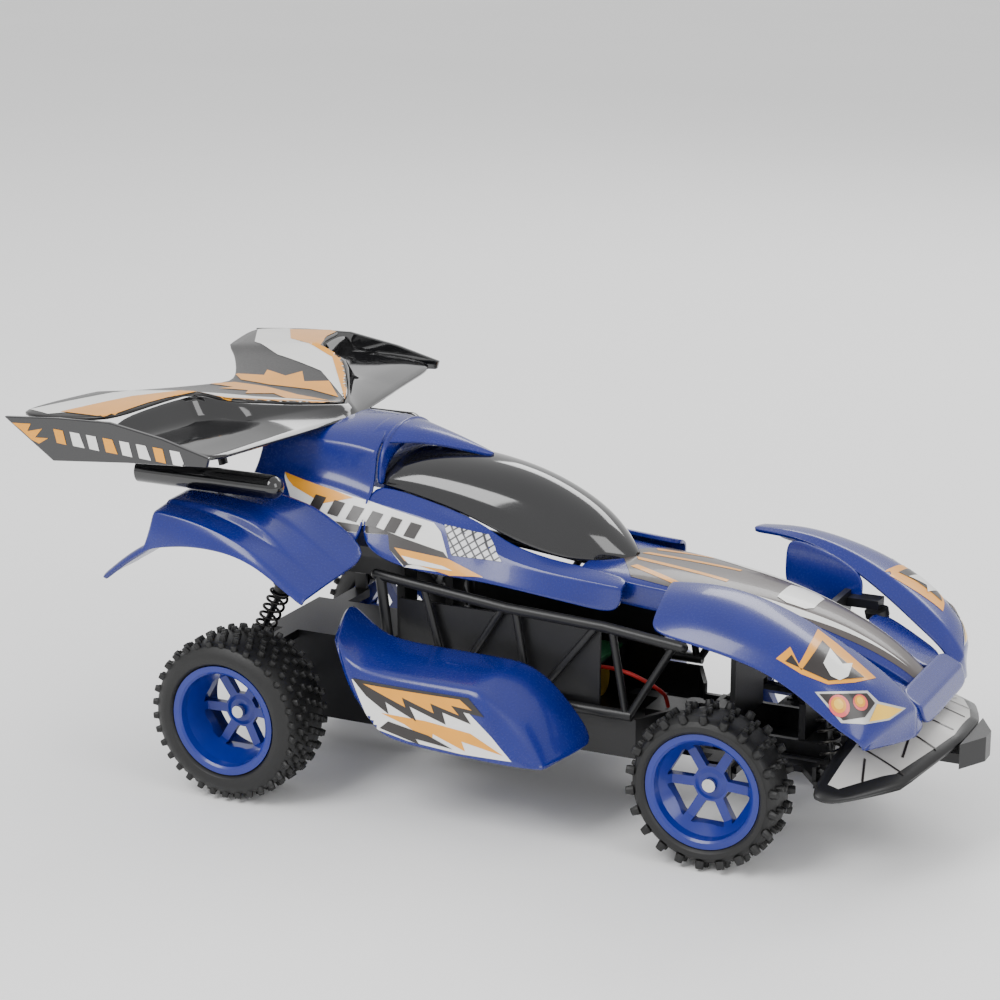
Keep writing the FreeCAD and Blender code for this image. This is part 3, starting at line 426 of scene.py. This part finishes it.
CANOPY = [(-69, 25, 136.5, 146), (-60, 26, 135.5, 149.4), (-45, 26.4, 133, 150.8), (-20, 27, 127, 149),
          (3, 26, 117, 144.5), (23, 23, 111.5, 136), (36, 17, 110, 127.5), (45, 9, 110, 118), (49.5, 3, 110, 112)]
dome = [[(x, -half * math.cos(math.radians(a)), base + (top - base) * math.sin(math.radians(a)))
         for a in range(0, 181, 15)] for x, half, base, top in CANOPY]
canopy = shell("canopy_glass", [dome], 1.5, GLOSS, "black_gloss", ["canopy"])

FENDER_Y = (97, 96, 94, 84, 82, 70, 68, 50)
FENDER_Z = {
    -170: (97, 98.5, 99.4, 99.6, 99.8, 100, 100.3, 101),
    -158: (106.5, 108.5, 109.4, 109.8, 110, 110.4, 110.6, 111),
    -148: (112.6, 114.8, 115.6, 116, 116.2, 117, 117.2, 118),
    -143: (115, 126, 131.5, 133, 134, 134.6, 134.8, 135.2),
    -125: (118.6, 126, 130, 131.6, 134, 134.6, 134.8, 135.2),
    -105: (118, 121.5, 124.5, 126.6, 131, 132.5, 133, 134),
    -93: (114.5, 117, 119, 121, 125.6, 127.2, 129, 131),
    -84: (110, 112.6, 114, 117.6, 118.4, 123, 124, 129),
    -67: (98.5, 100, 101.4, 104, 104.6, 107.4, 108, 112),
}
REAR_FENDER = []
for x, heights in FENDER_Z.items():
    lean = 0.22 if x > -84 else 0
    REAR_FENDER.append([(x + lean * (97 - y), -y, z) for y, z in zip(FENDER_Y, heights)])
POD = [
    [(-69, -50, 86), (-66, -62, 86), (-62, -78, 79), (-52, -85, 62)],
    [(-56, -50, 74.5), (-56, -64, 73.6), (-55, -80, 70), (-46, -85.5, 54)],
    [(-44, -50, 71), (-44, -66, 70.5), (-44, -82, 67.4), (-37, -86, 44)],
    [(-24, -50, 70.5), (-24, -66, 70.5), (-24, -83.4, 67.2), (-26, -87.4, 39.5)],
    [(12, -50, 70), (12, -66, 70), (11, -84, 67), (30, -88, 38.5)],
    [(27, -50, 68), (28, -64, 65), (28, -80, 55), (42, -87, 38)],
    [(50, -48, 40), (49, -60, 39.5), (46, -74, 39), (43.5, -85, 38.2)],
]
fenders, pods = {}, {}
for side, rows_of in (("right", lambda r: r), ("left", mirrored)):
    fenders[side] = shell(f"rear_fender_skin_{side}", [rows_of(REAR_FENDER)], THICK_SKIN, BLUE, "blue_shell",
                          [f"rear_fender_{side}"], sharp_cols=(2, 3, 4, 5, 6), sharp_rows=(2, 3))
    pods[side] = shell(f"pod_skin_{side}", [rows_of(POD)], THICK_SKIN, BLUE, "blue_shell", [f"side_pod_{side}"],
                       sharp_cols=(2,), sharp_rows=(4,))

# ------------------------------------------------------------------ wing

DECK_HALF = [
    [(-209, -106.2, 169.8), (-183, -106.2, 171.3), (-157, -106.2, 172.6)],
    [(-202, -80, 171), (-177, -80, 173.5), (-151, -80, 175)],
    [(-196, -57, 171), (-170, -57, 174), (-144.5, -57, 176.4)],
    [(-186, -46, 170), (-160, -46, 172.5), (-127, -50, 172.6)],
    [(-170, -22, 168.6), (-145, -24, 170), (-112, -26, 168)],
    [(-158, 0, 168), (-132, 0, 167), (-97, 0, 163.4)],
]
deck_rows = DECK_HALF + list(reversed(mirrored(DECK_HALF[:-1])))
TRAY_HALF = [
    [(-157, -106.2, 172.2), (-153, -106.2, 163), (-122, -106.2, 161.6), (-105.5, -106.2, 160)],
    [(-151, -80, 174.6), (-146, -80, 163.4), (-119, -80, 162.2), (-103.5, -80, 159.2)],
    [(-144.5, -57, 176), (-139, -57, 164), (-117, -57, 162.4), (-101, -57, 158.6)],
    [(-127, -50, 172.2), (-121, -49, 164.4), (-115, -46, 162.6), (-99.5, -48, 158.4)],
    [(-112, -26, 167.6), (-110, -25, 164.6), (-106, -22, 163), (-97, -24, 158)],
    [(-97, 0, 163), (-96, 0, 162.6), (-95.4, 0, 162), (-93.8, 0, 158)],
]
tray_rows = TRAY_HALF + list(reversed(mirrored(TRAY_HALF[:-1])))
WING_CREASES = (2, 3, 5, 7, 8)
wing = shell("wing_deck_skin", [deck_rows], SKIN, DECK, "wing_deck", ["rear_wing"], levels=2,
             sharp_rows=WING_CREASES)
shell("wing_tray", [tray_rows], SKIN, GLOSS, "black_gloss", [], levels=2,
      sharp_rows=WING_CREASES, sharp_cols=(1, 2))
for side, sign in (("right", -1), ("left", 1)):
    bm = bmesh.new()
    add_skin(bm, [[(x, sign * y, z) for x, y, z in line] for line in (
        [(-146, 40, 165), (-146, 36, 165)], [(-140, 40, 140), (-140, 36, 140)])], 2.6)
    finish_piece(to_object(f"wing_post_{side}", bm), "chassis", BLACK)

PLATE_SIDE = [(-210.6, 170.4), (-182, 172.6), (-155, 173.4), (-128, 169), (-104.4, 163), (-105.6, 158.8),
              (-146, 156.2), (-185, 152.8)]
bm = bmesh.new()
for sign in (-1, 1):
    faces = []
    for y in (106.3, 108.6):
        faces.append(bm.faces.new([bm.verts.new((x * MM, sign * y * MM, z * MM)) for x, z in PLATE_SIDE]))
    for n in range(len(PLATE_SIDE)):
        m = (n + 1) % len(PLATE_SIDE)
        bm.faces.new((faces[0].verts[n], faces[0].verts[m], faces[1].verts[m], faces[1].verts[n]))
bmesh.ops.recalc_face_normals(bm, faces=bm.faces)
endplates = to_object("wing_endplate_pair", bm, smooth=False)
plate_edge = endplates.modifiers.new("edges", "BEVEL")
plate_edge.width = 0.5 * MM
plate_edge.segments = 2
finish_piece(endplates, "chassis", GLOSS, ["wing_endplates"])

# ------------------------------------------------------------------ bumper plate

BUMPER = [(158, 166, 77, 42, 40), (160, 190, 54, 52, 43), (164, 199, 26, 59, 49), (166, 203, 12, 61, 51)]
plate_rows = [[(b, -y, zb), ((b + f) / 2, -y, (zb + zf) / 2 + 1), (f, -y, zf)] for b, f, y, zb, zf in BUMPER]
plate_rows += [[(166, 0, 62), (185, 0, 58), (203, 0, 52)]] + list(reversed(mirrored(plate_rows)))
bumper = shell("bumper_skin", [plate_rows], 2.4, BLACK, "black_frame", ["front_bumper"], levels=2,
               sharp_rows=(1, 2, 3, 5, 6, 7))

# ------------------------------------------------------------------ stickers

depsgraph = bpy.context.evaluated_depsgraph_get()


def surface_of(*objs):
    """One search tree over the final surfaces of several pieces."""
    verts, polys = [], []
    for obj in objs:
        mesh = obj.evaluated_get(depsgraph).to_mesh()
        base = len(verts)
        verts += [obj.matrix_world @ v.co for v in mesh.vertices]
        polys += [[base + i for i in p.vertices] for p in mesh.polygons]
    return BVHTree.FromPolygons(verts, polys)


NOSE_DEPTH, NOSE_BACK = 66, 80
NOSE_RAY = (-0.398, 0.857, -0.326)


def nose_start(u, v, sign):
    """A point of the upright plane at the nose lamp, moved back along the slanting ray."""
    ahead, across, down = NOSE_RAY
    return Vector((u - NOSE_BACK * ahead, sign * (NOSE_DEPTH + NOSE_BACK * across), v - NOSE_BACK * down))


# Each view turns an outline's (u, v) in mm into the start and the direction of a ray.
VIEWS = {
    "side": (lambda u, v, s: Vector((u, s * 160, v)), lambda s: Vector((0, -s, 0))),
    "top": (lambda u, v, s: Vector((u, s * v, 240)), lambda s: Vector((0, 0, -1))),
    "nose": (nose_start, lambda s: Vector((NOSE_RAY[0], -NOSE_RAY[1] * s, NOSE_RAY[2]))),
}


LIFT_UNIT = 1.5  # mm off the surface for a lift of 1
LONGEST_SPAN = 9  # a face longer than this, in mm, jumps a gap in the surface and is left out


def sticker(name, tree, outline, view, sign, material, lift, step=1.7):
    """A thin printed patch laid on the surface that a ray through its outline meets."""
    start, ray = VIEWS[view]
    low = [min(p[k] for p in outline) for k in (0, 1)]
    high = [max(p[k] for p in outline) for k in (0, 1)]
    points = []
    for a, b in zip(outline, outline[1:] + outline[:1]):
        a, b = Vector(a), Vector(b)
        count = max(1, round((b - a).length / step))
        points += [a.lerp(b, n / count) for n in range(count)]
    rim_count = len(points)
    edges = [(n, (n + 1) % rim_count) for n in range(rim_count)]
    u = low[0] + step / 2
    while u < high[0]:
        v = low[1] + step / 2
        while v < high[1]:
            points.append(Vector((u, v)))
            v += step
        u += step
    verts, _, faces, *_ = delaunay_2d_cdt(points, edges, [list(range(rim_count))], 1, 1e-4)
    bm = bmesh.new()
    placed = []
    direction = ray(sign)
    for v in verts:
        origin = start(v.x, v.y, sign) * MM
        hit, normal, _, _ = tree.ray_cast(origin, direction)
        if hit is None:
            placed.append(None)
            continue
        if normal.dot(direction) > 0:
            normal = -normal
        placed.append(bm.verts.new(hit + normal * lift * LIFT_UNIT * MM))
    for face in faces:
        corners = [placed[i] for i in face]
        if None in corners or len(set(corners)) < 3:
            continue
        if max((a.co - b.co).length for a in corners for b in corners) > LONGEST_SPAN * MM:
            continue
        bm.faces.new(corners)
    obj = to_object(name, bm)
    return finish_piece(obj, "chassis", material)


def both_sides(tree, view, prints):
    """Prints on both sides of the car, each a (name, material, lift, outline)."""
    for name, material, lift, outline in prints:
        for side, sign in (("right", -1), ("left", 1)):
            sticker(f"{name}_{side}", tree, outline, view, sign, material, lift)


cockpit_tree = surface_of(cockpit)
both_sides(cockpit_tree, "side", [
    ("band_white", WHITE, 0.12, [(-110, 139), (-34, 124.5), (-30, 121), (-24, 110), (-7, 104.2), (-44, 105.5),
                                 (-52, 112), (-52, 118), (-98, 117)]),
    ("band_orange_top", ORANGE, 0.2, [(-110, 139), (-84, 134), (-74, 131.5), (-88, 128), (-104, 134)]),
    ("band_black", INK, 0.2, [(-98, 122), (-60, 120.5), (-46, 117), (-27, 113), (-24, 110.4), (-44, 106),
                              (-52, 112), (-54, 118), (-96, 117.4)]),
    ("band_orange_low", ORANGE, 0.28, [(-50, 113), (-24, 110.4), (-7, 104.4), (-22, 103.9), (-44, 108)]),
    ("band_white_low", WHITE, 0.34, [(-46, 110), (-26, 107.4), (-21, 105.8), (-42, 107)]),
])
BAND_START, BLOCK_PITCH = -92, 9.5
for n in range(6):
    x = BAND_START + n * BLOCK_PITCH
    z = 131.5 - 0.16 * (x - BAND_START)
    block = [(x, z), (x + 5.4, z - 0.9), (x + 3, z - 6.8), (x - 2.4, z - 5.9)]
    both_sides(cockpit_tree, "side", [(f"band_block_{n}", INK, 0.3, block)])
both_sides(cockpit_tree, "side", [
    ("vent", VENT, 0.22, [(-29, 124), (-10, 120.5), (0, 111), (-23, 112)]),
])

pod_tree = surface_of(pods["right"], pods["left"])
both_sides(pod_tree, "side", [
    ("pod_white", WHITE, 0.12, [(-50, 64), (-20, 63.5), (4, 62), (20, 50), (30, 41), (6, 40.5), (-20, 42), (-38, 45)]),
    ("pod_black", INK, 0.2, [(-50, 64.4), (8, 65), (16, 58), (6, 58.6), (10, 54), (-4, 57), (-2, 52), (-20, 57),
                             (-16, 51), (-32, 57), (-30, 52), (-42, 58)]),
    ("pod_orange", ORANGE, 0.28, [(-44, 63), (4, 63.8), (10, 60), (0, 60.6), (4, 57), (-10, 60), (-8, 56),
                                  (-24, 60.4), (-22, 56.4), (-36, 60.6)]),
    ("pod_orange_low", ORANGE, 0.2, [(-34, 52), (-12, 52), (10, 50), (26, 43), (6, 46), (8, 42), (-8, 47), (-8, 43),
                                     (-22, 49)]),
    ("pod_ink_low", INK, 0.28, [(-30, 49), (-10, 46), (2, 42), (-16, 43.6), (-14, 41.4), (-34, 45.4)]),
])

HOOD_PRINTS = [
    ("hood_dark", SMOKE, 0.12, [(46, 0), (46, 8), (56, 24), (80, 25), (115, 20), (150, 14), (180, 7), (184, 0)]),
    ("hood_line", ORANGE, 0.2, [(50, 3), (95, 7), (95, 9.6), (52, 6)]),
    ("hood_line2", ORANGE, 0.2, [(54, 12), (78, 20), (76, 22.4), (52, 15)]),
    ("hood_white", WHITE, 0.2, [(78, 20.5), (96, 15), (124, 12.5), (150, 8.6), (176, 5.4), (150, 11), (126, 16.5),
                                (100, 20.5), (84, 23)]),
]
hood_tree = surface_of(hood)
both_sides(hood_tree, "top", HOOD_PRINTS)
HOOD_PLATE = [(118, -9), (118, 9), (123, 11), (131, 10), (134, 7), (134, -7), (131, -10), (123, -11)]
sticker("hood_plate", hood_tree, HOOD_PLATE, "top", 1, WHITE, 0.28)

cowl_tree = surface_of(cowl)
both_sides(cowl_tree, "nose", [
    ("flame_orange", ORANGE, 0.12, [(137, 96), (143.6, 102), (147, 95), (153, 105), (158, 112), (166.7, 106.5),
                                    (183, 94.5), (172, 91), (159.6, 88.4), (148, 91)]),
    ("flame_black", INK, 0.24, [(141, 95.4), (144, 98.6), (148, 92.6), (154, 100.6), (159, 107), (165, 101.6),
                                (177, 93.8), (160, 90)]),
    ("flame_white", WHITE, 0.36, [(158, 97), (162, 104), (167, 98), (172, 99), (169, 93), (165, 90.8), (161, 92)]),
    ("lamp_border", SILVER, 0.12, [(153.7, 84.4), (177.8, 88.4), (183, 84.5), (197, 83.6), (188, 77.4), (176, 74),
                                   (165.2, 73)]),
    ("lamp_black", INK, 0.24, [(155.6, 83.8), (177.4, 87.2), (181, 83.6), (176, 77), (166, 74.2)]),
    ("lamp_amber", YELLOW, 0.24, [(182, 83.4), (195, 82.8), (187.4, 78), (178, 75.4)]),
])


def disc(cx, cz, r, steps=20):
    turns = [2 * math.pi * k / steps for k in range(steps)]
    return [(cx + r * math.cos(turn), cz + r * math.sin(turn)) for turn in turns]


for n, (cx, cz, r) in enumerate(((164.4, 80, 4.7), (174, 82.8, 3.4))):
    both_sides(cowl_tree, "nose", [
        (f"lamp_{n}_rim", PINK, 0.36, disc(cx, cz, r)),
        (f"lamp_{n}_mid", ORANGE, 0.48, disc(cx - 0.3, cz + 0.4, r * 0.72)),
        (f"lamp_{n}_core", YELLOW, 0.6, disc(cx - 0.4, cz + 0.6, r * 0.46)),
    ])

both_sides(surface_of(wing), "top", [
    ("wing_white", WHITE, 0.12, [(-204, 98), (-184, 62), (-160, 44), (-128, 30), (-99, 2), (-120, 42), (-138, 52),
                                 (-158, 62), (-170, 94), (-190, 104)]),
    ("wing_orange", ORANGE, 0.2, [(-186, 100), (-168, 70), (-152, 58), (-132, 48), (-100, 3), (-122, 47), (-143, 56),
                                  (-153, 80), (-159, 104)]),
    ("wing_flame", ORANGE, 0.12, [(-165, 12), (-150, 14), (-153, 22), (-140, 17), (-136, 26), (-128, 14), (-118, 20),
                                  (-104, 4), (-120, 6), (-140, 2), (-156, 3)]),
])

plate_tree = surface_of(endplates)
both_sides(plate_tree, "side", [
    ("plate_splash", ORANGE, 0.12, [(-206, 168), (-196, 168.6), (-198, 165), (-190, 167), (-194, 162.6), (-187, 163),
                                    (-192, 160), (-196, 161.4), (-201, 165)]),
])
BAR_START, BAR_PITCH = -184, 8.6
for n in range(8):
    x = BAR_START + n * BAR_PITCH
    z = 167.6 - 0.05 * (x - BAR_START)
    bar = [(x, z), (x + 5, z - 0.3), (x + 6.6 + (n % 2), z - 6.6), (x + 1.6, z - 6.2)]
    both_sides(plate_tree, "side", [(f"plate_bar_{n}", WHITE if n % 3 else ORANGE, 0.12, bar)])

BUMPER_LINES = [
    [(170, 20), (196, 26), (196, 27), (170, 21)],
    [(176, 8), (198, 8), (198, 9), (176, 9)],
    [(182, 9), (183, 9), (186, 40), (185, 40)],
    [(168, 44), (189, 48), (189, 49), (168, 45)],
    [(172, 50), (173, 50), (176, 62), (175, 62)],
]
bumper_tree = surface_of(bumper)
both_sides(bumper_tree, "top", [
    ("bumper_plate", GREY, 0.1, [(170, 0), (170, 12), (166, 50), (163.5, 70), (168, 70), (186, 50), (195.4, 25.6),
                                 (199.4, 12), (199.4, 0)]),
])
both_sides(bumper_tree, "top",
           [(f"bumper_line_{n}", INK, 0.24, outline) for n, outline in enumerate(BUMPER_LINES)])

# ------------------------------------------------------------------ stage, light and camera

bpy.ops.mesh.primitive_plane_add(size=14, location=(0, 0, 0))
floor = bpy.context.object
floor.name = "floor"
PALE = moulded("floor_pale", (0.95, 0.95, 0.95), 0.7, grain=60, depth=0.0, vary=0.01, wave=2)
floor.data.materials.append(PALE)

world = bpy.data.worlds.new("studio")
bpy.context.scene.world = world
world.use_nodes = True
world.node_tree.nodes["Background"].inputs["Color"].default_value = (1, 1, 1, 1)
world.node_tree.nodes["Background"].inputs["Strength"].default_value = 1.0


def area_light(name, place, size, power, target=(0, 0, 0.08)):
    data = bpy.data.lights.new(name, "AREA")
    data.shape = "RECTANGLE"
    data.size, data.size_y = size
    data.energy = power
    lamp = bpy.data.objects.new(name, data)
    lamp.location = place
    lamp.rotation_euler = (Vector(target) - Vector(place)).to_track_quat("-Z", "Y").to_euler()
    bpy.context.scene.collection.objects.link(lamp)


area_light("key", (-0.5, -1.2, 1.5), (0.9, 0.9), 22)
area_light("fill", (1.5, -0.6, 0.9), (0.7, 1.0), 9)
area_light("rim", (0.2, 1.5, 1.3), (1.6, 0.5), 16)

camera_data = bpy.data.cameras.new("camera")
camera_data.lens = 91.41
camera_data.sensor_width = 36
camera_data.clip_start = 0.05
camera = bpy.data.objects.new("camera", camera_data)
camera.location = (0.4639, -0.9982, 0.4350)
aim = Vector((-0.0246, 0.0122, 0.1242)) - camera.location
camera.rotation_euler = aim.to_track_quat("-Z", "Y").to_euler()
bpy.context.scene.collection.objects.link(camera)
bpy.context.scene.camera = camera
